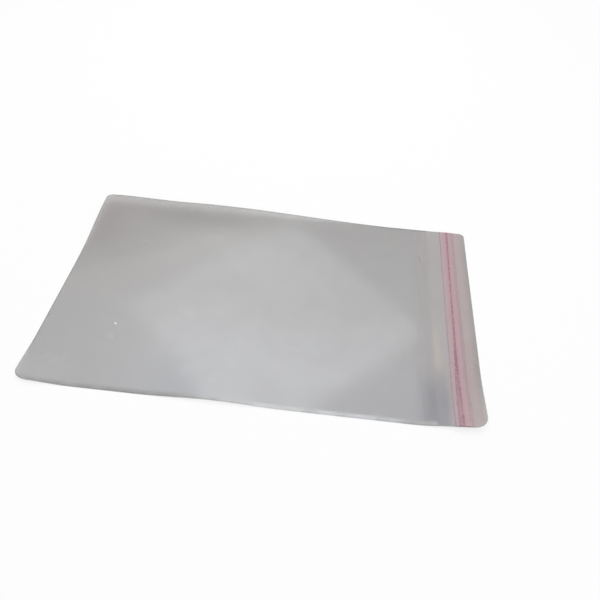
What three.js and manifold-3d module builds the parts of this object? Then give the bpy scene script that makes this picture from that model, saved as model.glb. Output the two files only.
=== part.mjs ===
// Clear film bag with a self-seal lip, lying flat on its back panel
// Millimetres, +Z up, +X from the bottom fold to the end of the lip, +Y across the bag
// The origin is under the middle of the bag, on the surface that it lies on
import * as THREE from 'three';
import { mergeVertices } from 'three/addons/utils/BufferGeometryUtils.js';
import Module from 'manifold-3d';

const wasm = await Module();
wasm.setup();
const { clamp, lerp, smoothstep } = THREE.MathUtils;

// Cut and folded film
const bagWidth = 220;
const pocketLength = 305;
const lipLength = 35;
const filmThickness = 0.05;
const foldOpening = 0.4;
const nearCornerRadius = 10;
const farCornerRadius = 5;

// Side welds, where a hot blade cuts the two panels and melts them together
const weldWidth = 1.2;
const weldRidge = 0.2;
const weldOpening = 0.05;

// Air between the panels: over the middle, at the mouth, and how far it takes to rise
const pocketOpening = 1.6;
const mouthOpening = 2.2;
const sideRise = 28;
const bottomRise = 22;
const mouthRise = 60;

// Self-seal strip and its liner, both cut flush with the sides of the bag
const adhesiveWidth = 6;
const adhesiveThickness = 0.03;
const linerWidth = 13;
const linerThickness = 0.05;
const linerMargin = 10;
const layerClearance = 0.02;

// Corners that curl up from the table
const cornerCurls = {
  foldNear: { height: 3, reach: 45 },
  foldFar: { height: 4.5, reach: 80 },
  lipNear: { height: 5, reach: 55 },
  lipFar: { height: 0.5, reach: 45 },
};

// Long edges that stand off the table in one shallow wave each
const edgeWaves = {
  near: { height: 2.5, fromFold: 145, halfSpan: 55, reach: 40 },
  far: { height: 7, fromFold: 100, halfSpan: 180, reach: 100 },
};

// Fineness of the grid that the film is drawn on
const lengthStep = 17;
const widthStep = 14;
const ridgeSteps = 4;
const foldFacets = 6;
const cornerSegments = 6;

const bagLength = pocketLength + lipLength;
const linerEnd = bagLength - linerMargin;
const linerStart = linerEnd - linerWidth;
const adhesiveStart = linerStart + (linerWidth - adhesiveWidth) / 2;
const adhesiveEnd = adhesiveStart + adhesiveWidth;
const facetAngle = Math.PI / foldFacets;
const foldRadius = foldOpening / 2 + filmThickness;
const foldCentre = foldRadius * Math.cos(facetAngle / 2);
const cutHeight = 20;

// Grid positions from one break to the next, no further apart than step
function stations(breaks, step) {
  const places = [breaks[0]];
  for (let i = 1; i < breaks.length; i++) {
    const count = Math.ceil((breaks[i] - breaks[i - 1]) / step);
    for (let k = 1; k <= count; k++) {
      places.push(lerp(breaks[i - 1], breaks[i], k / count));
    }
  }
  return places;
}

// Grid positions round the bottom fold, on a half circle of that radius
function foldStations(radius) {
  const places = [];
  for (let angle = facetAngle / 2; angle < Math.PI / 2; angle += facetAngle) {
    places.push(foldCentre - radius * Math.cos(angle));
  }
  return places;
}

const pocketStations = stations([foldCentre, bottomRise, pocketLength - mouthRise, pocketLength], lengthStep);
const lipStations = stations(
  [pocketLength, linerStart, adhesiveStart, adhesiveEnd, linerEnd, bagLength],
  lengthStep,
);
const flatStations = [...pocketStations, ...lipStations.slice(1)];
const cavityWidthStations = stations(
  [weldWidth, weldWidth + sideRise, bagWidth - weldWidth - sideRise, bagWidth - weldWidth],
  widthStep,
);
const widthStations = [
  ...stations([0, weldWidth], weldWidth / ridgeSteps).slice(0, -1),
  ...cavityWidthStations,
  ...stations([bagWidth - weldWidth, bagWidth], weldWidth / ridgeSteps).slice(1),
];

// 1 at the middle of a lifted place, falling smoothly to 0 where the film is flat again
function falloff(distance, reach) {
  return 1 - smoothstep(distance, 0, reach);
}

// How high the underside of the back panel stands above the table
function lift(x, y) {
  const corner = (curl, cx, cy) => curl.height * falloff(Math.hypot(x - cx, y - cy), curl.reach);
  const wave = (edge, distance) =>
    edge.height * falloff(Math.abs(x - edge.fromFold), edge.halfSpan) * falloff(distance, edge.reach);
  return (
    corner(cornerCurls.foldNear, 0, 0) +
    corner(cornerCurls.foldFar, 0, bagWidth) +
    corner(cornerCurls.lipNear, bagLength, 0) +
    corner(cornerCurls.lipFar, bagLength, bagWidth) +
    wave(edgeWaves.near, y) +
    wave(edgeWaves.far, bagWidth - y)
  );
}

// Clear height between the two panels
function opening(x, y) {
  const fromWeld = Math.min(y, bagWidth - y) - weldWidth;
  const pocket = lerp(foldOpening, pocketOpening, smoothstep(x, 0, bottomRise));
  const full = lerp(pocket, mouthOpening, smoothstep(x, pocketLength - mouthRise, pocketLength));
  return lerp(weldOpening, full, smoothstep(fromWeld, 0, sideRise));
}

// Height of the melted ridge along each side weld
function ridge(y) {
  const fromSide = clamp(Math.min(y, bagWidth - y), 0, weldWidth);
  return weldRidge * Math.sin((Math.PI * fromSide) / weldWidth);
}

// Share of the full height that is left beside the round of the bottom fold
function foldRound(x, radius) {
  return x >= foldCentre ? 1 : Math.sqrt(1 - ((foldCentre - x) / radius) ** 2);
}

// Outer faces of the folded film, and the faces of the space inside it
const halfHeight = (x, y) => opening(x, y) / 2 + filmThickness;
const underside = (x, y) => lift(x, y) + halfHeight(x, y) * (1 - foldRound(x, foldRadius));
const topside = (x, y) => lift(x, y) + halfHeight(x, y) * (1 + foldRound(x, foldRadius)) + ridge(y);
const innerRound = (x) => foldRound(x, foldRadius - filmThickness);
const cavityFloor = (x, y) => lift(x, y) + halfHeight(x, y) - (opening(x, y) / 2) * innerRound(x);
const cavityRoof = (x, y) => lift(x, y) + halfHeight(x, y) + (opening(x, y) / 2) * innerRound(x);
const lipTop = (x, y) => lift(x, y) + filmThickness;
const adhesiveFloor = (x, y) => lipTop(x, y) + layerClearance;
const adhesiveRoof = (x, y) => adhesiveFloor(x, y) + adhesiveThickness;
const linerFloor = (x, y) => adhesiveRoof(x, y) + layerClearance;
const linerRoof = (x, y) => linerFloor(x, y) + linerThickness;

// Closed slab on a grid, from a floor height to a roof height at each place
function slab(xs, ys, floor, roof) {
  const geometry = new THREE.BoxGeometry(1, 1, 1, xs.length - 1, ys.length - 1, 1);
  const position = geometry.attributes.position;
  for (let i = 0; i < position.count; i++) {
    const x = xs[Math.round((position.getX(i) + 0.5) * (xs.length - 1))];
    const y = ys[Math.round((position.getY(i) + 0.5) * (ys.length - 1))];
    const height = position.getZ(i) > 0 ? roof : floor;
    position.setXYZ(i, x, y, height(x, y));
  }
  // The floor's cells are cut along the same diagonal as the roof's, so a film keeps its thickness
  const index = geometry.index.array;
  const { start, count } = geometry.groups[5];
  for (let k = start; k < start + count; k += 6) {
    const [a, b, d, , c] = index.slice(k, k + 6);
    index.set([a, b, c, a, c, d], k);
  }
  return geometry;
}

// Upright block with a rounded outline, which trims the corners
function trimBlock(x0, x1, y0, y1, radii) {
  const { foldNear, foldFar, lipNear, lipFar } = radii;
  const shape = new THREE.Shape();
  shape.moveTo(x0 + foldNear, y0);
  shape.lineTo(x1 - lipNear, y0);
  shape.absarc(x1 - lipNear, y0 + lipNear, lipNear, -Math.PI / 2, 0, false);
  shape.lineTo(x1, y1 - lipFar);
  shape.absarc(x1 - lipFar, y1 - lipFar, lipFar, 0, Math.PI / 2, false);
  shape.lineTo(x0 + foldFar, y1);
  shape.absarc(x0 + foldFar, y1 - foldFar, foldFar, Math.PI / 2, Math.PI, false);
  shape.lineTo(x0, y0 + foldNear);
  shape.absarc(x0 + foldNear, y0 + foldNear, foldNear, Math.PI, 1.5 * Math.PI, false);
  const block = new THREE.ExtrudeGeometry(shape, {
    depth: 2 * cutHeight,
    bevelEnabled: false,
    curveSegments: cornerSegments,
  });
  return block.translate(0, 0, -cutHeight);
}

// Closed geometry as a solid for cutting
function toSolid(geometry) {
  const bare = geometry.clone();
  bare.deleteAttribute('normal');
  bare.deleteAttribute('uv');
  const merged = mergeVertices(bare);
  const mesh = new wasm.Mesh({
    numProp: 3,
    vertProperties: merged.attributes.position.array,
    triVerts: Uint32Array.from(merged.index.array),
  });
  return new wasm.Manifold(mesh);
}

// Cut solid as a geometry again
function toGeometry(solid) {
  const { vertProperties, triVerts } = solid.getMesh();
  const geometry = new THREE.BufferGeometry();
  geometry.setAttribute('position', new THREE.BufferAttribute(vertProperties, 3));
  geometry.setIndex(new THREE.BufferAttribute(triVerts, 1));
  geometry.computeVertexNormals();
  return geometry;
}

// One folded sheet: two panels joined at the bottom fold and the side welds, open at the mouth
function filmBag() {
  const outerRadii = {
    foldNear: nearCornerRadius,
    foldFar: farCornerRadius,
    lipNear: nearCornerRadius,
    lipFar: farCornerRadius,
  };
  const outside = toSolid(
    slab([...foldStations(foldRadius), ...flatStations], widthStations, underside, topside),
  ).intersect(toSolid(trimBlock(0, bagLength, 0, bagWidth, outerRadii)));
  const innerRadii = {
    foldNear: nearCornerRadius - weldWidth,
    foldFar: farCornerRadius - weldWidth,
    lipNear: 0,
    lipFar: 0,
  };
  const innerStations = foldStations(foldRadius - filmThickness);
  const inside = toSolid(
    slab([...innerStations, ...flatStations], cavityWidthStations, cavityFloor, cavityRoof),
  ).intersect(
    toSolid(trimBlock(innerStations[0], bagLength, weldWidth, bagWidth - weldWidth, innerRadii)),
  );
  const overLip = toSolid(slab(lipStations, widthStations, lipTop, () => cutHeight));
  return toGeometry(outside.subtract(inside).subtract(overLip));
}

const adhesiveStations = stations([adhesiveStart, adhesiveEnd], lengthStep);
const linerStations = stations([linerStart, adhesiveStart, adhesiveEnd, linerEnd], lengthStep);

const film = new THREE.MeshStandardMaterial({
  color: '#b9bab9',
  roughness: 0.22,
  metalness: 0,
  transparent: true,
  opacity: 0.6,
});
const adhesive = new THREE.MeshStandardMaterial({
  color: '#c9c4c2',
  roughness: 0.45,
  metalness: 0,
  transparent: true,
  opacity: 0.5,
});
const liner = new THREE.MeshStandardMaterial({
  color: '#c9a9b0',
  roughness: 0.3,
  metalness: 0,
  transparent: true,
  opacity: 0.8,
});

const filmMesh = new THREE.Mesh(filmBag(), film);
filmMesh.name = 'film_bag';

const adhesiveMesh = new THREE.Mesh(
  slab(adhesiveStations, widthStations, adhesiveFloor, adhesiveRoof),
  adhesive,
);
adhesiveMesh.name = 'adhesive_strip';

const linerMesh = new THREE.Mesh(slab(linerStations, widthStations, linerFloor, linerRoof), liner);
linerMesh.name = 'release_liner';

const bag = new THREE.Group();
bag.add(filmMesh, adhesiveMesh, linerMesh);
bag.position.set(-bagLength / 2, -bagWidth / 2, 0);

export default bag;
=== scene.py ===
"""Looks of a clear self-seal film bag that lies flat on its back panel.

Lengths are in metres. +X runs from the bottom fold to the end of the lip, +Y across the bag and +Z up.
"""

import logging
import math
from dataclasses import dataclass, field, replace
from enum import Enum
from functools import partial, reduce
from typing import Callable

import bmesh
import bpy
import numpy as np
from mathutils import Matrix, Vector, noise

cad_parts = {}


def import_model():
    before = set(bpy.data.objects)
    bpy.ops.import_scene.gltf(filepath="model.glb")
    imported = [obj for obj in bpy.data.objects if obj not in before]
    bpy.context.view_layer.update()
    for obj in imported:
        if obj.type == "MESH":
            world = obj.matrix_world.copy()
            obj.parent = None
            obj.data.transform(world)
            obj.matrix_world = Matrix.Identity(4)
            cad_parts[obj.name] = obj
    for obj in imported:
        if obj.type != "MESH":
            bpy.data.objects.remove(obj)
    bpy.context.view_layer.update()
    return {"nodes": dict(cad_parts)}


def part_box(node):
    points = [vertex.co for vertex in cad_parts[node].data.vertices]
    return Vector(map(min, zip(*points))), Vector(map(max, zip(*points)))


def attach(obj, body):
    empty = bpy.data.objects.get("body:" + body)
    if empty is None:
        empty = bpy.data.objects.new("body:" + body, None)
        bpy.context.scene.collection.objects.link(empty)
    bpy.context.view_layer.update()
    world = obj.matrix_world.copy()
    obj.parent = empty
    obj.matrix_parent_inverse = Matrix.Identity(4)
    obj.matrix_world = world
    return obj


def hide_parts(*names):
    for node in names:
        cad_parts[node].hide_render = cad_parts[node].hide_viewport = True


LOG = logging.getLogger("film_bag")
MM = 0.001
ROOT_BODY = "root"
FRONT_SHARE = "front_share"

TRANSPARENT_BOUNCES = 32

Color = tuple[float, float, float]
Place = tuple[float, float]
Scale = tuple[float, float, float]
Values = np.ndarray
Piece = bpy.types.Object
Material = bpy.types.Material
Tree = bpy.types.NodeTree
Node = bpy.types.Node
Socket = bpy.types.NodeSocket


class Side(Enum):
    """The two long sides of the bag, as the sign of their Y."""

    NEAR = -1.0
    FAR = 1.0


class End(Enum):
    """The two short ends of the bag, as the sign of their X."""

    FOLD = -1.0
    LIP = 1.0


class Slice(Enum):
    """Slices of the noise, so that no two of the bag's patterns are alike."""

    SWELL = 0.0
    PUCKER = 4.0
    BEAD = 7.0
    MARGIN = 11.0


def smooth_rise(distance: Values, reach: float) -> Values:
    """Rises smoothly from 0 at no distance to 1 at reach.

    Args:
        distance: distances in metres.
        reach: where the rise is complete.

    Returns:
        One share from 0 to 1 for each distance.
    """
    share = np.clip(distance / reach, 0.0, 1.0)
    return share * share * (3.0 - 2.0 * share)


def noise_field(x: Values, y: Values, wavelength: float, layer: float) -> Values:
    """Smooth noise over the plane, from about -1 to 1.

    Args:
        x: places along the bag.
        y: places across the bag.
        wavelength: rough distance between two bumps.
        layer: which slice of the noise is used, so that two fields differ.

    Returns:
        One value for each place.
    """
    return np.array(
        [noise.noise(Vector((a / wavelength, b / wavelength, layer))) for a, b in zip(x, y)]
    )


@dataclass(frozen=True)
class CornerCurl:
    """A corner that curls up from the table."""

    end: End
    side: Side
    height: float
    reach: float


@dataclass(frozen=True)
class EdgeWave:
    """A stretch of a long side that stands off the table in one shallow wave."""

    side: Side
    height: float
    from_fold: float
    half_span: float
    reach: float


@dataclass(frozen=True)
class Crease:
    """A soft straight ridge in the front panel, between two places on it."""

    start: Place
    finish: Place
    width: float
    height: float


@dataclass(frozen=True)
class Fade:
    """A value that changes smoothly between two places, and stays as it is outside them."""

    start: object
    end: object
    before: object = 0.0
    after: object = 1.0

    def moved(self, by: float) -> "Fade":
        """The same change, moved along."""
        return replace(self, start=self.start + by, end=self.end + by)


@dataclass
class BagSizes:
    """Sizes of the bag, with its outline and its liner taken from the frame."""

    film_thickness: float = 0.05 * MM
    lip_length: float = 35.0 * MM
    fold_radius: float = 0.225 * MM
    near_corner_radius: float = 10.0 * MM
    far_corner_radius: float = 5.0 * MM
    weld_width: float = 1.2 * MM
    layer_clearance: float = 0.02 * MM
    fold_x: float = field(init=False)
    lip_x: float = field(init=False)
    half_width: float = field(init=False)
    liner: Place = field(init=False)
    adhesive: Place = field(init=False)

    def __post_init__(self) -> None:
        """Reads the outline, the liner and the glue strip from the frame."""
        low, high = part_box("film_bag")
        self.fold_x, self.lip_x, self.half_width = low.x, high.x, high.y
        low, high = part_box("release_liner")
        self.liner = (low.x, high.x)
        low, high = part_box("adhesive_strip")
        self.adhesive = (low.x, high.x)

    @property
    def mouth_x(self) -> float:
        """Where the front panel ends."""
        return self.lip_x - self.lip_length

    def corner_radius(self, side: Side) -> float:
        """Radius of the two corners on one side."""
        return self.near_corner_radius if side is Side.NEAR else self.far_corner_radius

    def from_weld(self, y: Values) -> Values:
        """Distance inward from the nearer side weld."""
        return self.half_width - np.abs(y) - self.weld_width

    @property
    def flat_size(self) -> tuple[float, float]:
        """Width and length of the film as it was cut, before it was folded."""
        straight = (self.lip_x - self.fold_x) + (self.mouth_x - self.fold_x)
        return 2 * self.half_width, straight + (math.pi - 2) * self.fold_radius


@dataclass
class RestShape:
    """How the film lies: its curls, its waves and the air between its panels."""

    sizes: BagSizes
    curls: tuple[CornerCurl, ...] = (
        CornerCurl(End.FOLD, Side.NEAR, 3.0 * MM, 45 * MM),
        CornerCurl(End.FOLD, Side.FAR, 4.5 * MM, 80 * MM),
        CornerCurl(End.LIP, Side.NEAR, 5.0 * MM, 55 * MM),
        CornerCurl(End.LIP, Side.FAR, 0.5 * MM, 45 * MM),
    )
    waves: tuple[EdgeWave, ...] = (
        EdgeWave(Side.NEAR, 2.5 * MM, 145 * MM, 55 * MM, 40 * MM),
        EdgeWave(Side.FAR, 7.0 * MM, 100 * MM, 180 * MM, 100 * MM),
    )
    pocket_opening: float = 1.6 * MM
    mouth_opening: float = 2.2 * MM
    weld_opening: float = 0.05 * MM
    side_rise: float = 28 * MM
    bottom_rise: float = 22 * MM
    mouth_rise: float = 60 * MM
    swell: float = 0.20 * MM
    swell_wavelength: float = 62 * MM
    pucker: float = 0.05 * MM
    pucker_wavelength: float = 8 * MM
    pucker_reach: float = 11 * MM
    pucker_stretch: float = 0.25
    creases: tuple[Crease, ...] = (
        Crease((128 * MM, -98 * MM), (146 * MM, -30 * MM), 5 * MM, 0.35 * MM),
        Crease((-150 * MM, 62 * MM), (-96 * MM, 88 * MM), 9 * MM, 0.25 * MM),
        Crease((-70 * MM, -100 * MM), (-24 * MM, -84 * MM), 7 * MM, 0.2 * MM),
    )

    def lift(self, x: Values, y: Values) -> Values:
        """Height of the back panel's underside above the table.

        Args:
            x: places along the bag.
            y: places across the bag.

        Returns:
            One height for each place.
        """
        size = self.sizes
        height = np.zeros_like(x)
        for curl in self.curls:
            corner_x = size.fold_x if curl.end is End.FOLD else size.lip_x
            corner_y = curl.side.value * size.half_width
            away = np.hypot(x - corner_x, y - corner_y)
            height += curl.height * (1.0 - smooth_rise(away, curl.reach))
        for wave in self.waves:
            along = np.abs(x - size.fold_x - wave.from_fold)
            inward = size.half_width - wave.side.value * y
            span = 1.0 - smooth_rise(along, wave.half_span)
            height += wave.height * span * (1.0 - smooth_rise(inward, wave.reach))
        return height

    def opening(self, x: Values, y: Values) -> Values:
        """Clear height between the panels.

        Args:
            x: places along the bag.
            y: places across the bag.

        Returns:
            One height for each place.
        """
        size = self.sizes
        fold_opening = 2.0 * size.fold_radius - size.film_thickness
        pocket = fold_opening + (self.pocket_opening - fold_opening) * smooth_rise(
            x - size.fold_x, self.bottom_rise
        )
        near_mouth = smooth_rise(x - size.mouth_x + self.mouth_rise, self.mouth_rise)
        full = pocket + (self.mouth_opening - pocket) * near_mouth
        beside = smooth_rise(size.from_weld(y), self.side_rise)
        return self.weld_opening + (full - self.weld_opening) * beside

    def front_relief(self, x: Values, y: Values) -> Values:
        """Soft swells, creases and small puckers at the welds, which fade out at the welds and the fold.

        Args:
            x: places along the bag.
            y: places across the bag.

        Returns:
            One height for each place.
        """
        relief = self.swell * noise_field(x, y, self.swell_wavelength, Slice.SWELL.value)
        for crease in self.creases:
            relief += self.crease_height(crease, x, y)
        from_weld = self.sizes.from_weld(y)
        beside = smooth_rise(from_weld, self.pucker_reach / 2)
        beside *= 1.0 - smooth_rise(from_weld, self.pucker_reach)
        stretched = y * self.pucker_stretch
        ripple = noise_field(x, stretched, self.pucker_wavelength, Slice.PUCKER.value)
        loose = smooth_rise(from_weld, self.side_rise)
        loose *= smooth_rise(x - self.sizes.fold_x, self.bottom_rise)
        return relief * loose + self.pucker * ripple * beside

    @staticmethod
    def crease_height(crease: Crease, x: Values, y: Values) -> Values:
        """Height of one crease, which fades out at both ends.

        Args:
            crease: the crease.
            x: places along the bag.
            y: places across the bag.

        Returns:
            One height for each place.
        """
        start, finish = np.array(crease.start), np.array(crease.finish)
        run = finish - start
        length = float(np.hypot(*run))
        direction = run / length
        from_start = np.stack([x - start[0], y - start[1]])
        along = direction @ from_start
        across = np.abs(direction[0] * from_start[1] - direction[1] * from_start[0])
        fade = smooth_rise(along, length / 3) * smooth_rise(length - along, length / 3)
        return crease.height * fade * (1.0 - smooth_rise(across, crease.width))


class Bench:
    """Small modelling steps that several pieces share."""

    @staticmethod
    def clear_selection() -> None:
        """Leaves edit mode and deselects everything."""
        if bpy.context.mode != "OBJECT":
            bpy.ops.object.mode_set(mode="OBJECT")
        bpy.ops.object.select_all(action="DESELECT")

    @staticmethod
    def pick(*pieces: Piece) -> None:
        """Selects the pieces alone and makes the last one active.

        Args:
            pieces: the objects.
        """
        Bench.clear_selection()
        for piece in pieces:
            piece.select_set(True)
        bpy.context.view_layer.objects.active = pieces[-1]

    @staticmethod
    def apply_place(piece: Piece) -> None:
        """Moves the object's place, turn and scale into its mesh."""
        Bench.pick(piece)
        bpy.ops.object.transform_apply(location=True, rotation=True, scale=True)

    @staticmethod
    def divide(piece: Piece, axis: int, longer_than: float, cells: int) -> None:
        """Divides, in edit mode, the edges that run along one axis.

        Args:
            piece: the object in edit mode.
            axis: 0 along the bag, 1 across it.
            longer_than: only edges longer than this are divided.
            cells: how many cells each of them is divided into.
        """
        Bench.select_edges(piece, lambda a, b: abs(a[axis] - b[axis]) > longer_than)
        bpy.ops.mesh.subdivide(number_cuts=cells - 1)

    @staticmethod
    def select_edges(piece: Piece, wanted: Callable[[Vector, Vector], bool]) -> None:
        """Selects, in edit mode, the edges whose two ends pass a test.

        Args:
            piece: the object in edit mode.
            wanted: the test, on the two ends' places.
        """
        bpy.ops.mesh.select_mode(type="EDGE")
        bpy.ops.mesh.select_all(action="DESELECT")
        shell = bmesh.from_edit_mesh(piece.data)
        for edge in shell.edges:
            if wanted(edge.verts[0].co, edge.verts[1].co):
                edge.select_set(True)
        bmesh.update_edit_mesh(piece.data)

    @staticmethod
    def add_strip(name: str, x0: float, x1: float, half_width: float) -> Piece:
        """Adds a flat rectangle at height 0.

        Args:
            name: the object's name.
            x0: where it starts along the bag.
            x1: where it ends along the bag.
            half_width: half its width across the bag.

        Returns:
            The new object, with its place in its mesh.
        """
        Bench.clear_selection()
        bpy.ops.mesh.primitive_plane_add(size=1.0, location=((x0 + x1) / 2, 0.0, 0.0))
        strip = bpy.context.active_object
        strip.name = name
        strip.data.name = name
        strip.scale = (x1 - x0, 2 * half_width, 1.0)
        Bench.apply_place(strip)
        return strip

    @staticmethod
    def places(piece: Piece) -> Values:
        """Reads a mesh's vertices.

        Args:
            piece: the object.

        Returns:
            One row of three coordinates for each vertex.
        """
        flat = np.zeros(len(piece.data.vertices) * 3, np.float64)
        piece.data.vertices.foreach_get("co", flat)
        return flat.reshape(-1, 3)

    @staticmethod
    def set_places(piece: Piece, places: Values) -> None:
        """Writes a mesh's vertices.

        Args:
            piece: the object.
            places: one row of three coordinates for each vertex.
        """
        piece.data.vertices.foreach_set("co", places.ravel())
        piece.data.update()

    @staticmethod
    def thicken(piece: Piece, thickness: float, offset: float) -> None:
        """Gives a sheet its thickness.

        Args:
            piece: the sheet.
            thickness: its thickness.
            offset: -1 below the sheet's own surface, 0 about it, 1 above it.
        """
        wall = piece.modifiers.new("thickness", "SOLIDIFY")
        wall.thickness = thickness
        wall.offset = offset
        Bench.pick(piece)
        bpy.ops.object.modifier_apply(modifier=wall.name)

    @staticmethod
    def shade_smooth(piece: Piece, angle_deg: float) -> None:
        """Shades a piece smooth, apart from edges sharper than an angle.

        Args:
            piece: the object.
            angle_deg: the angle, in degrees.
        """
        Bench.pick(piece)
        bpy.ops.object.shade_smooth_by_angle(angle=math.radians(angle_deg))


@dataclass(frozen=True)
class Grain:
    """A noise pattern: its bumps for each metre on each axis, and its finer layers."""

    scale: Scale
    detail: float
    roughness: float = 0.5


class Graph:
    """Builds one node tree, with short calls for the nodes that the finishes use."""

    def __init__(self, tree: Tree) -> None:
        """Starts on the tree of a material, a node group or the world."""
        self.tree = tree

    def node(self, kind: str, **settings: object) -> Node:
        """Adds a node.

        Args:
            kind: the node's type name.
            settings: values of the node's own properties.

        Returns:
            The node.
        """
        made = self.tree.nodes.new(kind)
        for name, value in settings.items():
            setattr(made, name, value)
        return made

    def feed(self, socket: Socket, value: object) -> None:
        """Links a socket to another node's output, or sets its own value.

        Args:
            socket: the input.
            value: an output socket, a number or a tuple.
        """
        if isinstance(value, Socket):
            self.tree.links.new(value, socket)
        else:
            socket.default_value = value

    def fill(self, made: Node, inputs: dict[str, object]) -> None:
        """Feeds several inputs of a node.

        Args:
            made: the node.
            inputs: what each input gets, by its name.
        """
        for name, value in inputs.items():
            self.feed(made.inputs[name], value)

    def math(self, operation: str, first: object, second: object = 0.0, clamp: bool = False) -> Socket:
        """Adds one Math node.

        Args:
            operation: the node's operation.
            first: first input.
            second: second input.
            clamp: whether the result is kept from 0 to 1.

        Returns:
            Its output.
        """
        made = self.node("ShaderNodeMath", operation=operation, use_clamp=clamp)
        self.feed(made.inputs[0], first)
        self.feed(made.inputs[1], second)
        return made.outputs[0]

    def times(self, *values: object) -> Socket:
        """Multiplies the values."""
        return reduce(partial(self.math, "MULTIPLY"), values)

    def plus(self, *values: object) -> Socket:
        """Adds the values up."""
        return reduce(partial(self.math, "ADD"), values)

    def minus(self, first: object, second: object) -> Socket:
        """Takes the second value from the first."""
        return self.math("SUBTRACT", first, second)

    def larger(self, first: object, second: object) -> Socket:
        """The larger of two values."""
        return self.math("MAXIMUM", first, second)

    def unsigned(self, value: object) -> Socket:
        """The value without its sign."""
        return self.math("ABSOLUTE", value)

    def ramp(self, value: object, fade: Fade) -> Socket:
        """Puts a value through a smooth change.

        Args:
            value: the input.
            fade: the change.

        Returns:
            The changed value.
        """
        made = self.node("ShaderNodeMapRange", interpolation_type="SMOOTHSTEP")
        self.fill(made, {"Value": value, "From Min": fade.start, "From Max": fade.end})
        self.fill(made, {"To Min": fade.before, "To Max": fade.after})
        return made.outputs["Result"]

    def mix(self, share: object, first: object, second: object) -> Socket:
        """Mixes two colours.

        Args:
            share: how much of the second colour shows.
            first: first colour, a socket or three numbers.
            second: second colour, a socket or three numbers.

        Returns:
            The mixed colour.
        """
        made = self.node("ShaderNodeMix", data_type="RGBA")
        self.feed(made.inputs["Factor"], share)
        for name, color in (("A", first), ("B", second)):
            socket = next(s for s in made.inputs if s.name == name and s.type == "RGBA")
            self.feed(socket, color if isinstance(color, Socket) else (*color, 1.0))
        return next(s for s in made.outputs if s.type == "RGBA")

    def noise(self, place: object, grain: Grain) -> Socket:
        """Adds a noise texture.

        Args:
            place: the coordinates.
            grain: the pattern.

        Returns:
            Its value, from 0 to 1.
        """
        stretched = self.node("ShaderNodeMapping")
        self.fill(stretched, {"Vector": place, "Scale": grain.scale})
        made = self.node("ShaderNodeTexNoise")
        self.fill(made, {"Vector": stretched.outputs["Vector"], "Scale": 1.0})
        self.fill(made, {"Detail": grain.detail, "Roughness": grain.roughness})
        return made.outputs["Fac"]

    def object_place(self) -> Socket:
        """The Object coordinates of the shaded point."""
        return self.node("ShaderNodeTexCoord").outputs["Object"]

    def seeing_ray(self, rays: Node) -> Socket:
        """Tells rays that show the white background from rays that only light the bag.

        Args:
            rays: the tree's Light Path node.

        Returns:
            1 for a camera, glossy or transmission ray and 0 for any other.
        """
        seen = self.larger(rays.outputs["Is Camera Ray"], rays.outputs["Is Glossy Ray"])
        return self.larger(seen, rays.outputs["Is Transmission Ray"])

    def dress(self, shader: Node, color: Socket, alpha: Socket, rough: Socket, normal: Socket) -> None:
        """Feeds the inputs of a Principled shader that every finish sets."""
        self.fill(shader, {"Base Color": color, "Alpha": alpha, "Roughness": rough, "Normal": normal})

    def bump(self, height: object, distance: float) -> Socket:
        """Turns a height into a normal.

        Args:
            height: the height, from 0 to 1.
            distance: the real height at 1, in metres.

        Returns:
            The normal.
        """
        made = self.node("ShaderNodeBump")
        self.fill(made, {"Height": height, "Distance": distance})
        return made.outputs["Normal"]


@dataclass(frozen=True)
class Spot:
    """The shaded point's place on the bag, in one material's graph."""

    graph: Graph
    sizes: BagSizes
    place: Socket
    along: Socket
    across: Socket

    @classmethod
    def of(cls, graph: Graph, sizes: BagSizes) -> "Spot":
        """Reads the point's place.

        Args:
            graph: the material's graph.
            sizes: the bag's sizes.

        Returns:
            The spot.
        """
        place = graph.object_place()
        axes = graph.node("ShaderNodeSeparateXYZ")
        graph.feed(axes.inputs[0], place)
        return cls(graph, sizes, place, axes.outputs["X"], axes.outputs["Y"])

    def inward(self) -> Socket:
        """Distance inward from the bag's outline with its rounded corners.

        Returns:
            The distance, in metres.
        """
        graph, sizes = self.graph, self.sizes
        on_near_side = graph.math("LESS_THAN", self.across, 0.0)
        wider = graph.times(on_near_side, sizes.near_corner_radius - sizes.far_corner_radius)
        radius = graph.plus(wider, sizes.far_corner_radius)
        middle = (sizes.fold_x + sizes.lip_x) / 2
        past = []
        for value, half in (
            (graph.minus(self.along, middle), sizes.lip_x - middle),
            (self.across, sizes.half_width),
        ):
            past.append(graph.plus(graph.minus(graph.unsigned(value), half), radius))
        squares = [graph.math("POWER", graph.larger(p, 0.0), 2.0) for p in past]
        outer = graph.math("SQRT", graph.plus(*squares))
        inner = graph.math("MINIMUM", graph.larger(*past), 0.0)
        return graph.minus(radius, graph.plus(outer, inner))


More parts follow.
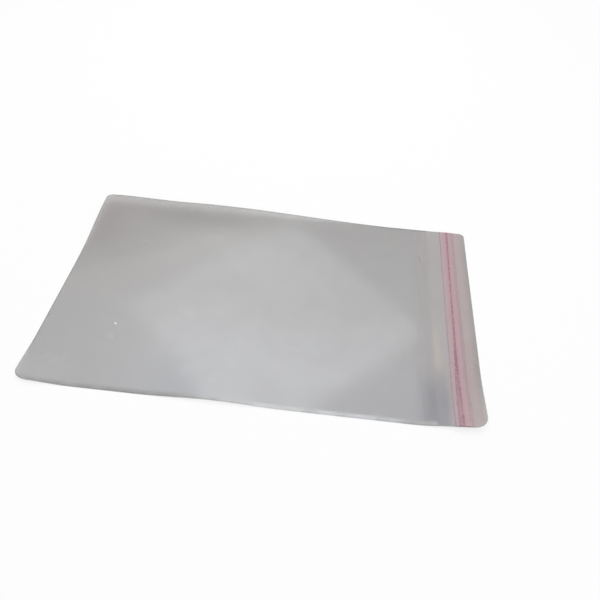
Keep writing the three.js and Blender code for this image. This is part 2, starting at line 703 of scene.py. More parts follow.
class FilmTexture:
    """Node group with the fine surface of rolled film, which every film finish uses."""

    NAME = "rolled_film"
    CLOUD = Grain((30.0, 30.0, 30.0), 1.5)
    DRAWN = Grain((9.0, 210.0, 40.0), 2.0)
    BLOTCH = Grain((21.0, 21.0, 21.0), 4.0, 0.62)
    HAZE = Fade(0.32, 0.7)
    SOCKETS = (
        ("Place", "INPUT", "NodeSocketVector"),
        ("Streak", "INPUT", "NodeSocketFloat"),
        ("Height", "OUTPUT", "NodeSocketFloat"),
        ("Haze", "OUTPUT", "NodeSocketFloat"),
    )

    @classmethod
    def group(cls) -> Tree:
        """The group, built on first use.

        Returns:
            The node group, with inputs Place and Streak and outputs Height and Haze.
        """
        if cls.NAME in bpy.data.node_groups:
            return bpy.data.node_groups[cls.NAME]
        tree = bpy.data.node_groups.new(cls.NAME, "ShaderNodeTree")
        for name, way, kind in cls.SOCKETS:
            tree.interface.new_socket(name, in_out=way, socket_type=kind)
        graph = Graph(tree)
        entry = graph.node("NodeGroupInput").outputs
        drawn = graph.noise(entry["Place"], cls.DRAWN)
        streak = graph.times(graph.minus(drawn, 0.5), entry["Streak"])
        height = graph.plus(graph.noise(entry["Place"], cls.CLOUD), streak)
        haze = graph.ramp(graph.noise(entry["Place"], cls.BLOTCH), cls.HAZE)
        graph.fill(graph.node("NodeGroupOutput"), {"Height": height, "Haze": haze})
        return tree

    @classmethod
    def place_in(cls, spot: Spot, streak: float) -> tuple[Socket, Socket]:
        """Adds the group to a material.

        Args:
            spot: the shaded point.
            streak: how strongly the film's drawing lines show.

        Returns:
            The surface's height and its haze, each from 0 to 1.
        """
        made = spot.graph.node("ShaderNodeGroup", node_tree=cls.group())
        spot.graph.fill(made, {"Place": spot.place, "Streak": streak})
        return made.outputs["Height"], made.outputs["Haze"]


def blank_material(name: str) -> tuple[Material, Graph, Node]:
    """Makes a material with one Principled shader.

    Args:
        name: the material's name.

    Returns:
        The material, its graph and its shader.
    """
    material = bpy.data.materials.new(name)
    material.use_nodes = True
    tree = material.node_tree
    shader = next(node for node in tree.nodes if node.type == "BSDF_PRINCIPLED")
    return material, Graph(tree), shader


@dataclass(frozen=True)
class FilmFinish:
    """Clear film, greyed by its haze, with a denser, slightly mauve lip."""

    # Colours of the panels, with painted light and shade among them, and where each shows
    body: Color = (0.545, 0.535, 0.53)
    # Painted sheen: the near side is painted lighter and bluer, where the bluish sheen falls
    painted_cool_sheen: Color = (0.57, 0.582, 0.612)
    painted_cool_sheen_across: Fade = Fade(10 * MM, -95 * MM, 0.0, 0.9)
    painted_cool_sheen_along: Fade = Fade(-140 * MM, -30 * MM, 0.25, 1.0)
    # Painted shade: the panels are painted darker towards the lip
    painted_lipward_shade: Color = (0.44, 0.435, 0.44)
    painted_lipward_shade_along: Fade = Fade(-50 * MM, 60 * MM, 0.0, 0.5)
    # Painted sheen: a lighter colour painted in a soft rhombus in the middle, where the lamp's sheen lies
    painted_sheen_color: Color = (0.70, 0.705, 0.72)
    painted_sheen_middle: Place = (10 * MM, -22 * MM)
    painted_sheen_reach: Place = (122 * MM, 125 * MM)
    painted_sheen_border: Fade = Fade(1.12, 0.86)
    painted_sheen_across: Fade = Fade(10 * MM, -80 * MM, 0.34, 0.60)
    # Painted shade towards the far side, and a painted dark reflection in a wedge under the far edge
    far_shade: Color = (0.40, 0.385, 0.37)
    far_across: Fade = Fade(20 * MM, 95 * MM, 0.0, 0.25)
    wedge_across: Fade = Fade(62 * MM, 84 * MM, 0.0, 0.75)
    wedge_start: Fade = Fade(-150 * MM, -100 * MM)
    wedge_end: Fade = Fade(20 * MM, -60 * MM)
    # Painted reflection: a warm tint painted at the far corner of the fold
    painted_warm_reflection: Color = (0.37, 0.345, 0.335)
    painted_warm_reflection_from_corner: Fade = Fade(125 * MM, 20 * MM, 0.0, 0.9)
    milky: Color = (0.60, 0.60, 0.60)
    milky_share: float = 0.15

    # Colours of the lip, and where each shows
    lip: Color = (0.47, 0.44, 0.44)
    lip_shaded: Color = (0.265, 0.255, 0.29)
    shaded_across: Fade = Fade(-50 * MM, -90 * MM)
    # Painted glint: a beige streak of light painted just past the mouth edge
    lip_painted_glint: Color = (0.56, 0.49, 0.42)
    glint_past_mouth: float = 3.5 * MM
    glint_border: Fade = Fade(3.5 * MM, 0.8 * MM)
    glint_near_end: Fade = Fade(-63 * MM, -45 * MM)
    glint_far_end: Fade = Fade(-10 * MM, -28 * MM, 0.0, 0.8)
    lip_pink: Color = (0.49, 0.42, 0.43)
    pink_at_liner: Fade = Fade(-6 * MM, 2 * MM)
    lip_mauve: Color = (0.51, 0.40, 0.405)
    mauve_past_edge: float = 4 * MM
    lip_end: Color = (0.395, 0.35, 0.345)
    end_past_liner: float = 3.5 * MM
    end_before_edge: float = 1.5 * MM

    # Seams, rim and a white speck
    seam_dull: Color = (0.43, 0.43, 0.43)
    # Painted highlight: a light line painted along a stretch of the near seam
    seam_painted_highlight: Color = (0.74, 0.75, 0.77)
    near_seam_width: float = 5 * MM
    far_seam_width: float = 2 * MM
    seam_border: Fade = Fade(1.0, 0.5)
    seam_stop: Fade = Fade(-0.3 * MM, 0.3 * MM, 1.0, 0.0)
    painted_highlight_along: Fade = Fade(-60 * MM, 10 * MM)
    painted_highlight_across: Fade = Fade(0.0, -50 * MM)
    painted_highlight_at_mouth: Fade = Fade(-45 * MM, -8 * MM, 1.0, 0.3)
    painted_highlight_grain: Grain = Grain((90.0, 25.0, 1.0), 2.0)
    painted_highlight_level: float = 0.55
    rim: Color = (0.36, 0.355, 0.35)
    rim_width: float = 1.2 * MM
    rim_solid: float = 0.3
    speck_white: Color = (0.90, 0.90, 0.88)
    speck_place: Place = (-113.5 * MM, -47 * MM)
    speck_half_size: Place = (1.5 * MM, 0.8 * MM)
    speck_turn_deg: float = -38.0
    speck_border: Fade = Fade(1.2, 0.4)

    # How much one surface hides
    alpha: float = 0.30
    lip_alpha: float = 0.50
    mouth_alpha: float = 0.05
    mouth_fade: float = 18 * MM
    mouth_edge: Fade = Fade(-0.7 * MM, -0.3 * MM)
    mouth_edge_alpha: float = 0.1
    haze_alpha: float = 0.025
    rim_alpha: float = 0.42
    speck_alpha: float = 0.8

    # Surface
    roughness: float = 0.27
    haze_roughness: float = 0.08
    streak: float = 0.12
    relief: float = 0.035 * MM
    refraction: float = 1.5
    shine: float = 0.9

    def material(self, sizes: BagSizes) -> Material:
        """Builds the material.

        Args:
            sizes: the bag's sizes, which place the lip, the seams and the rim.

        Returns:
            The material.
        """
        material, graph, shader = blank_material("clear_film")
        spot = Spot.of(graph, sizes)
        height, haze = FilmTexture.place_in(spot, self.streak)
        near_mouth = graph.ramp(spot.along, Fade(sizes.mouth_x - self.mouth_fade, sizes.mouth_x))
        seam, light = self._seams(spot)
        rim = graph.ramp(spot.inward(), Fade(self.rim_width, self.rim_solid * self.rim_width))
        rim = graph.times(rim, graph.minus(1.0, graph.times(seam, light)))
        speck = self._speck(spot)

        color = graph.mix(near_mouth, self._panel_color(spot), self._lip_color(spot))
        color = graph.mix(graph.times(haze, self.milky_share), color, self.milky)
        # Seams, with the painted highlight on a stretch of the near one
        color = graph.mix(seam, color, graph.mix(light, self.seam_dull, self.seam_painted_highlight))
        color = graph.mix(rim, color, self.rim)
        color = graph.mix(speck, color, self.speck_white)

        alpha = graph.plus(self._coverage(spot, near_mouth), graph.times(haze, self.haze_alpha))
        alpha = graph.larger(alpha, graph.times(rim, self.rim_alpha))
        alpha = graph.larger(alpha, graph.times(speck, self.speck_alpha))
        rough = graph.plus(self.roughness, graph.times(haze, self.haze_roughness))
        graph.dress(shader, color, alpha, rough, graph.bump(height, self.relief))
        graph.fill(shader, {"IOR": self.refraction, "Specular IOR Level": self.shine})
        return material

    def _coverage(self, spot: Spot, near_mouth: Socket) -> Socket:
        """How much the film hides: the front panel thins out towards its free edge, the back one greys.

        Args:
            spot: the shaded point.
            near_mouth: 0 well inside the pocket, 1 at the mouth and on the lip.

        Returns:
            The alpha of one surface.
        """
        graph = spot.graph
        front = graph.node("ShaderNodeAttribute", attribute_name=FRONT_SHARE).outputs["Fac"]
        at_mouth = graph.times(front, self.mouth_alpha - self.lip_alpha)
        at_mouth = graph.plus(at_mouth, self.lip_alpha - self.alpha)
        alpha = graph.plus(graph.times(near_mouth, at_mouth), self.alpha)
        edge = graph.ramp(spot.along, self.mouth_edge.moved(spot.sizes.mouth_x))
        return graph.larger(alpha, graph.times(edge, front, self.mouth_edge_alpha))

    def _panel_color(self, spot: Spot) -> Socket:
        """Colour of the panels: a painted bluish sheen on the near side, painted shade towards the lip and
        the far side, a painted sheen in a rhombus and a painted warm reflection at one corner.

        Args:
            spot: the shaded point.

        Returns:
            The colour.
        """
        graph, sizes, along, across = spot.graph, spot.sizes, spot.along, spot.across
        # Painted sheen: lighter, bluer colour on the near side
        painted_cool_sheen_share = graph.times(graph.ramp(across, self.painted_cool_sheen_across), graph.ramp(along, self.painted_cool_sheen_along))
        color = graph.mix(painted_cool_sheen_share, self.body, self.painted_cool_sheen)
        # Painted shade towards the lip
        color = graph.mix(graph.ramp(along, self.painted_lipward_shade_along), color, self.painted_lipward_shade)
        # Painted sheen in the middle rhombus
        color = graph.mix(self._painted_sheen_share(spot), color, self.painted_sheen_color)
        # Painted dark reflection in a wedge under the far edge, and painted shade towards the far side
        wedge = graph.times(graph.ramp(along, self.wedge_start), graph.ramp(along, self.wedge_end))
        wedge = graph.times(wedge, graph.ramp(across, self.wedge_across))
        far = graph.plus(graph.ramp(across, self.far_across), wedge)
        color = graph.mix(far, color, self.far_shade)
        # Painted warm reflection at the far corner of the fold
        corner = graph.node("ShaderNodeVectorMath", operation="DISTANCE")
        graph.feed(corner.inputs[0], spot.place)
        graph.feed(corner.inputs[1], (sizes.fold_x, sizes.half_width, 0.0))
        painted_warm_share = graph.ramp(corner.outputs["Value"], self.painted_warm_reflection_from_corner)
        return graph.mix(painted_warm_share, color, self.painted_warm_reflection)

    def _painted_sheen_share(self, spot: Spot) -> Socket:
        """Share of the painted sheen: a lighter colour inside a soft-edged rhombus, stronger on the near
        side.

        Args:
            spot: the shaded point.

        Returns:
            The share.
        """
        graph = spot.graph
        parts = [
            graph.math("DIVIDE", graph.unsigned(graph.minus(value, middle)), reach)
            for value, middle, reach in zip(
                (spot.along, spot.across), self.painted_sheen_middle, self.painted_sheen_reach
            )
        ]
        inside = graph.ramp(graph.plus(*parts), self.painted_sheen_border)
        return graph.times(inside, graph.ramp(spot.across, self.painted_sheen_across))

    def _lip_color(self, spot: Spot) -> Socket:
        """Colour of the lip: pinker beside the liner, darker at its end, with painted shade at its near
        corner and a painted glint just past the mouth.

        Args:
            spot: the shaded point.

        Returns:
            The colour.
        """
        graph, sizes, along, across = spot.graph, spot.sizes, spot.along, spot.across
        liner_start, liner_end = sizes.liner
        color = graph.mix(graph.ramp(across, self.shaded_across), self.lip, self.lip_shaded)
        # Painted glint just past the mouth edge
        off_glint = graph.unsigned(graph.minus(along, sizes.mouth_x + self.glint_past_mouth))
        streak = graph.times(
            graph.ramp(off_glint, self.glint_border),
            graph.ramp(across, self.glint_near_end),
            graph.ramp(across, self.glint_far_end),
        )
        color = graph.mix(streak, color, self.lip_painted_glint)
        before = graph.ramp(along, self.pink_at_liner.moved(liner_start))
        color = graph.mix(before, color, self.lip_pink)
        under = graph.ramp(along, Fade(liner_start + self.mauve_past_edge, liner_end))
        color = graph.mix(under, color, self.lip_mauve)
        end = Fade(liner_end + self.end_past_liner, sizes.lip_x - self.end_before_edge)
        return graph.mix(graph.ramp(along, end), color, self.lip_end)

    def _seams(self, spot: Spot) -> tuple[Socket, Socket]:
        """Masks of the side seams and of the stretch of the near one that carries a painted highlight.

        Args:
            spot: the shaded point.

        Returns:
            The seams' mask and the painted highlight's mask.
        """
        graph, sizes, along, across = spot.graph, spot.sizes, spot.along, spot.across
        inward = graph.minus(sizes.half_width, graph.unsigned(across))
        width = graph.ramp(across, Fade(MM, -MM, self.far_seam_width, self.near_seam_width))
        seam = graph.ramp(graph.math("DIVIDE", inward, width), self.seam_border)
        seam = graph.times(seam, graph.ramp(along, self.seam_stop.moved(sizes.mouth_x)))
        # Painted highlight along a stretch of the near seam, of uneven strength
        wander = graph.minus(graph.noise(spot.place, self.painted_highlight_grain), self.painted_highlight_level)
        light = graph.plus(graph.ramp(along, self.painted_highlight_along), wander)
        near = graph.ramp(across, self.painted_highlight_across)
        near = graph.times(near, graph.ramp(along, self.painted_highlight_at_mouth.moved(sizes.mouth_x)))
        return seam, graph.math("MULTIPLY", light, near, clamp=True)

    def _speck(self, spot: Spot) -> Socket:
        """Mask of the one small white speck on the front panel.

        Args:
            spot: the shaded point.

        Returns:
            1 on the speck and 0 beside it.
        """
        graph = spot.graph
        turned = graph.node("ShaderNodeMapping", vector_type="TEXTURE")
        graph.fill(turned, {"Vector": spot.place, "Location": (*self.speck_place, 0.0)})
        turn = (0.0, 0.0, math.radians(self.speck_turn_deg))
        graph.fill(turned, {"Rotation": turn, "Scale": (*self.speck_half_size, 1.0)})
        square = graph.node("ShaderNodeVectorMath", operation="DOT_PRODUCT")
        for side in (0, 1):
            graph.feed(square.inputs[side], turned.outputs["Vector"])
        return graph.ramp(square.outputs["Value"], self.speck_border)


@dataclass(frozen=True)
class LinerFinish:
    """Pink-tinted liner film, printed with one ragged broken line that parts in two near one end."""

    # Tints from the edge nearest the mouth to the other edge
    left: Color = (0.59, 0.465, 0.495)
    middle: Color = (0.61, 0.405, 0.455)
    right: Color = (0.61, 0.435, 0.47)
    edge: Color = (0.60, 0.475, 0.495)
    left_width: float = 1.5 * MM
    right_from: float = 0.7
    edge_from: float = 0.8

    # Printed line
    print_color: Color = (0.35, 0.13, 0.20)
    line_place: float = 5.9 * MM
    line_slant: float = 0.009
    line_half_width: float = 0.68 * MM
    line_solid: float = 0.6
    line_blur: float = 1.45
    wobble: float = 3.2 * MM
    ragged: Grain = Grain((750.0, 420.0, 1.0), 3.0, 0.65)
    split: Fade = Fade(-12 * MM, -100 * MM)
    split_outward: float = 0.9 * MM
    split_inward: float = -2.0 * MM
    inner_width_share: float = 0.8
    strength_in_split: Fade = Fade(0.2, 0.7, 0.95, 0.68)
    wash_inner: Fade = Fade(-0.8 * MM, 0.4 * MM)
    wash_outer: Fade = Fade(0.9 * MM, -0.2 * MM)
    wash_in_split: Fade = Fade(0.0, 0.35, 0.0, 0.3)
    dash_length: float = 7 * MM
    dash_shift: float = 14 * MM
    dash_grain: Grain = Grain((1.0, 45.0, 1.0), 1.0)
    dash_gap: Fade = Fade(0.49, 0.4, 0.1, 1.0)
    patchy: Grain = Grain((260.0, 150.0, 1.0), 2.0)
    patchy_strength: Fade = Fade(0.32, 0.58, 0.5, 1.0)

    # Surface
    alpha: float = 0.66
    ink_alpha: float = 0.9
    thin_start: Fade = Fade(0.0, 1.6 * MM, 0.5, 1.0)
    thin_end: Fade = Fade(0.0, -4 * MM, 0.35, 1.0)
    roughness: float = 0.26
    haze_roughness: float = 0.12
    streak: float = 0.5
    relief: float = 0.08 * MM
    refraction: float = 1.5

    def material(self, sizes: BagSizes) -> Material:
        """Builds the material.

        Args:
            sizes: the bag's sizes, which place the liner and its print.

        Returns:
            The material.
        """
        material, graph, shader = blank_material("pink_liner")
        spot = Spot.of(graph, sizes)
        from_edge = graph.minus(spot.along, sizes.liner[0])
        width = sizes.liner[1] - sizes.liner[0]
        tint = self.left
        for fade, color in (
            (Fade(self.left_width, self.line_place), self.middle),
            (Fade(self.line_place, self.right_from * width), self.right),
            (Fade(self.edge_from * width, width), self.edge),
        ):
            tint = graph.mix(graph.ramp(from_edge, fade), tint, color)
        ink = self._ink(spot, from_edge)
        thin = graph.times(
            graph.ramp(from_edge, self.thin_start), graph.ramp(from_edge, self.thin_end.moved(width))
        )
        alpha = graph.larger(graph.times(thin, self.alpha), graph.times(ink, self.ink_alpha))
        height, haze = FilmTexture.place_in(spot, self.streak)
        rough = graph.plus(self.roughness, graph.times(haze, self.haze_roughness))
        color = graph.mix(ink, tint, self.print_color)
        graph.dress(shader, color, alpha, rough, graph.bump(height, self.relief))
        graph.fill(shader, {"IOR": self.refraction})
        return material

    def _ink(self, spot: Spot, from_edge: Socket) -> Socket:
        """Strength of the print: two ragged strokes that part, and a faint wash between them.

        Args:
            spot: the shaded point.
            from_edge: distance from the liner's edge nearest the mouth.

        Returns:
            0 beside the print, 1 on a full stroke.
        """
        graph = spot.graph
        ragged = graph.minus(graph.noise(spot.place, self.ragged), 0.5)
        wobble = graph.times(ragged, self.wobble)
        split = graph.ramp(spot.across, self.split)
        from_line = graph.minus(from_edge, self.line_place)
        from_line = graph.minus(from_line, graph.times(spot.across, self.line_slant))
        inner = graph.minus(from_line, graph.times(split, self.split_inward))
        outer = graph.minus(from_line, graph.times(split, self.split_outward))
        strokes = graph.larger(
            self._stroke(graph, outer, wobble, 1.0),
            self._stroke(graph, inner, wobble, self.inner_width_share),
        )
        strokes = graph.times(strokes, graph.ramp(split, self.strength_in_split))
        wash = graph.times(graph.ramp(inner, self.wash_inner), graph.ramp(outer, self.wash_outer))
        wash = graph.times(wash, graph.ramp(split, self.wash_in_split))
        return graph.larger(graph.times(strokes, self._dashes(spot)), wash)

    def _stroke(self, graph: Graph, away: Socket, wobble: Socket, share: float) -> Socket:
        """Mask of one printed stroke along the liner.

        Args:
            graph: the material's graph.
            away: signed distance from the stroke's middle.
            wobble: how far the stroke's edges wander.
            share: the stroke's width, as a share of the full one.

        Returns:
            1 on the stroke and 0 beside it.
        """
        half = share * self.line_half_width
        distance = graph.unsigned(graph.plus(away, wobble))
        return graph.ramp(distance, Fade(self.line_blur * half, self.line_solid * half))

    def _dashes(self, spot: Spot) -> Socket:
        """Mask that breaks the strokes into uneven dashes of uneven strength.

        Args:
            spot: the shaded point.

        Returns:
            1 on a full dash, less in a break.
        """
        graph = spot.graph
        uneven = graph.times(graph.noise(spot.place, self.dash_grain), self.dash_shift)
        dashes = graph.math("DIVIDE", graph.plus(spot.across, uneven), self.dash_length)
        from_middle = graph.unsigned(graph.minus(graph.math("FRACT", dashes), 0.5))
        strength = graph.ramp(graph.noise(spot.place, self.patchy), self.patchy_strength)
        return graph.times(strength, graph.ramp(from_middle, self.dash_gap))


@dataclass(frozen=True)
class AdhesiveFinish:
    """Clear glue, a little cloudy."""

    clear: Color = (0.62, 0.56, 0.57)
    cloudy: Color = (0.66, 0.62, 0.62)
    bubbles: Grain = Grain((620.0, 620.0, 620.0), 2.0)
    clouds: Fade = Fade(0.35, 0.7)
    alpha: float = 0.16
    cloud_alpha: float = 0.15
    roughness: float = 0.35
    cloud_roughness: float = 0.2
    relief: float = 0.02 * MM

    def material(self) -> Material:
        """Builds the material.

        Returns:
            The material.
        """
        material, graph, shader = blank_material("clear_glue")
        bubbles = graph.noise(graph.object_place(), self.bubbles)
        clouds = graph.ramp(bubbles, self.clouds)
        color = graph.mix(clouds, self.clear, self.cloudy)
        alpha = graph.plus(self.alpha, graph.times(clouds, self.cloud_alpha))
        rough = graph.plus(self.roughness, graph.times(clouds, self.cloud_roughness))
        graph.dress(shader, color, alpha, rough, graph.bump(bubbles, self.relief))
        return material


@dataclass
class FoldedFilm:
    """The film of the bag: back panel with its lip, bottom fold, front panel and both side welds."""

    sizes: BagSizes
    shape: RestShape
    finish: FilmFinish = FilmFinish()
    fold_steps: int = 6
    cells_across: int = 104
    cells_along: int = 150
    weld_cuts: tuple[float, ...] = (0.5, 1.0, 2.0)
    merge_distance: float = 0.01 * MM
    front_from: float = 0.999
    bead_half_height: float = 0.13 * MM
    bead_middle: float = 1.5
    bead_sides: int = 8
    bead_unevenness: float = 0.35
    bead_wavelength: float = 6 * MM
    smooth_angle: float = 50.0
    bead_smooth_angle: float = 60.0

    def build(self) -> Piece:
        """Models the film and dresses it.

        Returns:
            The finished piece.
        """
        film = self._cut_and_fold()
        self._round_corners(film)
        self._let_rest(film)
        Bench.thicken(film, self.sizes.film_thickness, 0.0)
        Bench.shade_smooth(film, self.smooth_angle)
        beads = [self._weld_bead(side) for side in Side]
        Bench.pick(*beads, film)
        bpy.ops.object.join()
        film.data.materials.clear()
        film.data.materials.append(self.finish.material(self.sizes))
        return film

    def _cut_and_fold(self) -> Piece:
        """Lays out the back panel, turns the fold, runs the front panel to the mouth and divides both.

        Returns:
            The folded sheet, still flat and without thickness.
        """
        size = self.sizes
        turn_x = size.fold_x + size.fold_radius
        film = Bench.add_strip("folded_film", turn_x, size.lip_x, size.half_width)
        bpy.ops.object.mode_set(mode="EDIT")
        Bench.select_edges(film, lambda a, b: a.x < turn_x + MM and b.x < turn_x + MM)
        bpy.ops.mesh.spin(
            steps=self.fold_steps,
            angle=math.pi,
            center=(turn_x, 0.0, size.fold_radius),
            axis=(0.0, 1.0, 0.0),
        )
        bpy.ops.mesh.extrude_region_move(
            TRANSFORM_OT_translate={"value": (size.mouth_x - turn_x, 0.0, 0.0)}
        )
        Bench.divide(film, 1, size.half_width, self.cells_across)
        Bench.divide(film, 0, size.half_width, self.cells_along)
        for side in Side:
            for share in self.weld_cuts:
                bpy.ops.mesh.select_all(action="SELECT")
                line_y = side.value * (size.half_width - share * size.weld_width)
                bpy.ops.mesh.bisect(plane_co=(0.0, line_y, 0.0), plane_no=(0.0, 1.0, 0.0))
        bpy.ops.mesh.select_all(action="SELECT")
        bpy.ops.mesh.remove_doubles(threshold=self.merge_distance)
        bpy.ops.mesh.normals_make_consistent(inside=False)
        bpy.ops.object.mode_set(mode="OBJECT")
        return film

    def _round_corners(self, film: Piece) -> None:
        """Draws the vertices beyond each corner's arc back onto it.

        Args:
            film: the folded sheet.
        """
        size = self.sizes
        places = Bench.places(film)
        for end_x, inward in ((size.fold_x, 1.0), (size.lip_x, -1.0)):
            for side in Side:
                radius = size.corner_radius(side)
                centre = np.array([end_x + inward * radius, side.value * (size.half_width - radius)])
                away = places[:, :2] - centre
                outside = (away[:, 0] * -inward > 0) & (away[:, 1] * side.value > 0)
                distance = np.hypot(away[:, 0], away[:, 1])
                outside &= distance > radius
                pull = (radius / distance[outside])[:, None]
                places[outside, :2] = centre + away[outside] * pull
        Bench.set_places(film, places)

    def _let_rest(self, film: Piece) -> None:
        """Moves the flat sheet into the shape in which the bag lies.

        Args:
            film: the folded sheet.
        """
        size, shape = self.sizes, self.shape
        places = Bench.places(film)
        x, y, z = places.T
        turned = z / (2 * size.fold_radius)
        gap = shape.opening(x, y) + size.film_thickness
        places[:, 2] = shape.lift(x, y) + size.film_thickness / 2 + turned * gap
        front = turned > self.front_from
        places[front, 2] += shape.front_relief(x[front], y[front])
        Bench.set_places(film, places)
        share = film.data.attributes.new(FRONT_SHARE, "FLOAT", "POINT")
        share.data.foreach_set("value", np.clip(turned, 0.0, 1.0).astype(np.float32))

    def _weld_bead(self, side: Side) -> Piece:
        """Models the melted bead along one side.

        Args:
            side: which side.

        Returns:
            The bead, as a closed rod with flattened section.
        """
        size = self.sizes
        start = size.fold_x + size.corner_radius(side)
        length = size.mouth_x - start
        Bench.clear_selection()
        bpy.ops.mesh.primitive_cylinder_add(
            vertices=self.bead_sides, radius=1.0, depth=length, rotation=(0.0, math.pi / 2, 0.0)
        )
        bead = bpy.context.active_object
        bead.scale = (self.bead_half_height, size.weld_width / 2, 1.0)
        bead.location = (start + length / 2, side.value * (size.half_width - size.weld_width / 2), 0.0)
        Bench.apply_place(bead)
        bpy.ops.object.mode_set(mode="EDIT")
        Bench.divide(bead, 0, length / 2, self.cells_along)
        bpy.ops.object.mode_set(mode="OBJECT")
        places = Bench.places(bead)
        x, y, _ = places.T
        layer = Slice.BEAD.value + side.value
        ripple = noise_field(x, np.zeros_like(y), self.bead_wavelength, layer)
        middle = self.bead_half_height * self.bead_middle + self.shape.lift(x, y)
        places[:, 2] = places[:, 2] * (1.0 + self.bead_unevenness * ripple) + middle
        Bench.set_places(bead, places)
        Bench.shade_smooth(bead, self.bead_smooth_angle)
        return bead


@dataclass
class SealStrip:
    """The glue strip on the lip and the liner that covers it."""

    sizes: BagSizes
    shape: RestShape
    liner_finish: LinerFinish = LinerFinish()
    glue_finish: AdhesiveFinish = AdhesiveFinish()
    glue_thickness: float = 0.03 * MM
    liner_thickness: float = 0.05 * MM
    cells_across: int = 220
    glue_cells_along: int = 4
    liner_cells_along: int = 10
    smooth_angle: float = 50.0
    margin_lift: float = 0.16 * MM
    margin_wavelength: float = 15 * MM
    margin_stretch: float = 0.3
    end_lift: float = 1.1 * MM
    end_reach: float = 9 * MM

    def build(self) -> tuple[Piece, Piece]:
        """Models the glue and the liner and dresses them.

        Returns:
            The glue strip and the liner.
        """
        size = self.sizes
        base = size.film_thickness + size.layer_clearance
        glue = self._strip("glue_strip", size.adhesive, self.glue_cells_along)
        self._lay(glue, base, lambda x, y: np.zeros_like(x))
        Bench.thicken(glue, self.glue_thickness, 1.0)
        glue.data.materials.append(self.glue_finish.material())
        liner = self._strip("peel_liner", size.liner, self.liner_cells_along)
        self._lay(liner, base + self.glue_thickness + size.layer_clearance, self._liner_relief)
        Bench.thicken(liner, self.liner_thickness, 1.0)
        liner.data.materials.append(self.liner_finish.material(size))
        for piece in (glue, liner):
            Bench.shade_smooth(piece, self.smooth_angle)
        return glue, liner

    def _strip(self, name: str, span: Place, cells_along: int) -> Piece:
        """Lays out one strip across the lip and divides it.

        Args:
            name: the strip's name.
            span: where it starts and ends along the bag.
            cells_along: how many cells it has along the bag.

        Returns:
            The flat strip.
        """
        strip = Bench.add_strip(name, span[0], span[1], self.sizes.half_width)
        bpy.ops.object.mode_set(mode="EDIT")
        Bench.divide(strip, 1, self.sizes.half_width, self.cells_across)
        Bench.divide(strip, 0, (span[1] - span[0]) / 2, cells_along)
        bpy.ops.object.mode_set(mode="OBJECT")
        return strip

    def _lay(
        self,
        strip: Piece,
        base: float,
        relief: Callable[[Values, Values], Values],
    ) -> None:
        """Lays a strip on the lip.

        Args:
            strip: the flat strip.
            base: how high its underside lies above the lip's underside.
            relief: further height at each place.
        """
        places = Bench.places(strip)
        x, y, _ = places.T
        places[:, 2] = self.shape.lift(x, y) + base + relief(x, y)
        Bench.set_places(strip, places)

    def _liner_relief(self, x: Values, y: Values) -> Values:
        """How far the liner stands off: at its loose margins, and at its near end.

        Args:
            x: places along the bag.
            y: places across the bag.

        Returns:
            One height for each place.
        """
        size = self.sizes
        margin = np.maximum(size.adhesive[0] - x, x - size.adhesive[1])
        width = size.adhesive[0] - size.liner[0]
        loose = smooth_rise(margin, width)
        stretched = x * self.margin_stretch
        waves = noise_field(stretched, y, self.margin_wavelength, Slice.MARGIN.value)
        ripple = 0.5 + 0.5 * waves
        from_end = y + size.half_width
        end = self.end_lift * (1.0 - smooth_rise(from_end, self.end_reach))
        return self.margin_lift * loose * ripple + end


@dataclass(frozen=True)
class PhotoCamera:
    """Camera at the photograph's viewing angle, fitted to the bag's outline in its 600 pixel frame."""

    frame_px: float = 600.0
    focal_px: float = 630.0
    yaw_deg: float = -3.89
    pitch_deg: float = 44.81
    roll_deg: float = 3.11
    from_near_fold_corner: tuple[float, float, float] = (222.2 * MM, -258.6 * MM, 368.2 * MM)
    sensor_mm: float = 36.0
    clip_start: float = 0.01

    def add(self, sizes: BagSizes) -> None:
        """Adds the camera and makes it the scene's.

        Args:
            sizes: the bag's sizes, which give its near corner at the fold.
        """
        yaw, pitch, roll = (math.radians(v) for v in (self.yaw_deg, self.pitch_deg, self.roll_deg))
        ahead = Vector(
            (math.sin(yaw) * math.cos(pitch), math.cos(yaw) * math.cos(pitch), -math.sin(pitch))
        )
        level_right = Vector((math.cos(yaw), -math.sin(yaw), 0.0))
        level_up = level_right.cross(ahead)
        right = math.cos(roll) * level_right + math.sin(roll) * level_up
        up = -math.sin(roll) * level_right + math.cos(roll) * level_up
        turn = Matrix((right, up, -ahead)).transposed()
        bpy.ops.object.camera_add()
        camera = bpy.context.active_object
        camera.name = "photo_camera"
        camera.data.sensor_width = self.sensor_mm
        camera.data.lens = self.focal_px / self.frame_px * self.sensor_mm
        camera.data.clip_start = self.clip_start
        corner = Vector((sizes.fold_x, -sizes.half_width, 0.0))
        place = Matrix.Translation(corner + Vector(self.from_near_fold_corner))
        camera.matrix_world = place @ turn.to_4x4()
        bpy.context.scene.camera = camera


@dataclass(frozen=True)
class SoftBox:
    """One soft studio lamp that hangs over the bag and faces straight down."""

    name: str
    place: tuple[float, float, float]
    width: float
    length: float
    turn_deg: float
    power: float

    def add(self) -> None:
        """Adds the lamp."""
        bpy.ops.object.light_add(type="AREA", location=self.place)
        lamp = bpy.context.active_object
        lamp.name = self.name
        lamp.data.shape = "RECTANGLE"
        lamp.data.size = self.width
        lamp.data.size_y = self.length
        lamp.data.energy = self.power
        lamp.rotation_euler = (0.0, 0.0, math.radians(self.turn_deg))


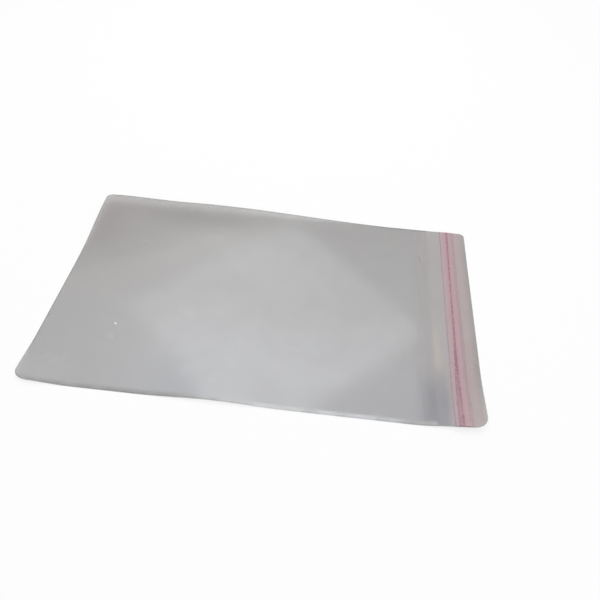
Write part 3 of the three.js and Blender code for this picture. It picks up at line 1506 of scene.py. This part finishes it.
@dataclass
class Studio:
    """White floor, soft lamps and a white surround."""

    floor_color: Color = (0.97, 0.97, 0.97)
    floor_size: float = 8.0
    floor_drop: float = 0.1 * MM
    floor_glow: Fade = Fade(0.45, 1.6, 0.75, 1.0)
    surround_color: Color = (1.0, 1.0, 1.0)
    fill_strength: float = 0.5
    lamps: tuple[SoftBox, ...] = (
        SoftBox("overhead", (0.15, -0.35, 1.7), 2.2, 2.2, 0.0, 17.5),
        SoftBox("sheen", (-0.10, 0.74, 0.95), 0.68, 0.68, 45.0, 2.55),
    )

    def build(self) -> None:
        """Adds the floor, the lamps and the surround."""
        Bench.clear_selection()
        bpy.ops.mesh.primitive_plane_add(size=self.floor_size, location=(0.0, 0.0, -self.floor_drop))
        floor = bpy.context.active_object
        floor.name = "studio_floor"
        floor.data.materials.append(self._floor_material())
        for lamp in self.lamps:
            lamp.add()
        self._surround()

    def _floor_material(self) -> Material:
        """Builds the matt white floor, which glows softly for rays that come straight from the eye.

        Returns:
            The material.
        """
        material, graph, shader = blank_material("white_floor")
        matt = {"Base Color": (*self.floor_color, 1.0), "Roughness": 1.0, "Specular IOR Level": 0.0}
        graph.fill(shader, matt)
        shine = graph.node("ShaderNodeEmission")
        rays = graph.node("ShaderNodeLightPath")
        blend = graph.node("ShaderNodeMixShader")
        away = graph.node("ShaderNodeVectorMath", operation="LENGTH")
        graph.feed(away.inputs[0], graph.object_place())
        glow = graph.ramp(away.outputs["Value"], self.floor_glow)
        bare = graph.math("LESS_THAN", rays.outputs["Transparent Depth"], 0.5)
        share = graph.times(graph.seeing_ray(rays), bare, glow)
        graph.feed(blend.inputs[0], share)
        graph.feed(blend.inputs[1], shader.outputs["BSDF"])
        graph.feed(blend.inputs[2], shine.outputs["Emission"])
        ending = next(node for node in material.node_tree.nodes if node.type == "OUTPUT_MATERIAL")
        graph.feed(ending.inputs["Surface"], blend.outputs["Shader"])
        return material

    def _surround(self) -> None:
        """Makes the surround white to the eye and in reflections, and softer as a light."""
        world = bpy.data.worlds.new("studio")
        bpy.context.scene.world = world
        world.use_nodes = True
        graph = Graph(world.node_tree)
        background = next(node for node in world.node_tree.nodes if node.type == "BACKGROUND")
        rays = graph.node("ShaderNodeLightPath")
        strength = graph.ramp(graph.seeing_ray(rays), Fade(0.0, 1.0, self.fill_strength, 1.0))
        graph.fill(background, {"Color": (*self.surround_color, 1.0), "Strength": strength})


def main() -> None:
    """Builds the bag round its frame and lights it."""
    logging.basicConfig(level=logging.INFO, format="%(name)s: %(message)s")
    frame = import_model()
    LOG.info("frame: %d nodes", len(frame["nodes"]))
    sizes = BagSizes()
    shape = RestShape(sizes)

    film = FoldedFilm(sizes, shape).build()
    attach(film, ROOT_BODY)
    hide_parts("film_bag")
    LOG.info("film: %d faces", len(film.data.polygons))

    glue, liner = SealStrip(sizes, shape).build()
    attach(glue, ROOT_BODY)
    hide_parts("adhesive_strip")
    LOG.info("glue strip: %d faces", len(glue.data.polygons))
    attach(liner, ROOT_BODY)
    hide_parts("release_liner")
    LOG.info("liner: %d faces", len(liner.data.polygons))

    Studio().build()
    PhotoCamera().add(sizes)
    scene = bpy.context.scene
    scene.view_settings.view_transform = "Standard"
    scene.cycles.transparent_max_bounces = TRANSPARENT_BOUNCES


if __name__ == "__main__":
    main()
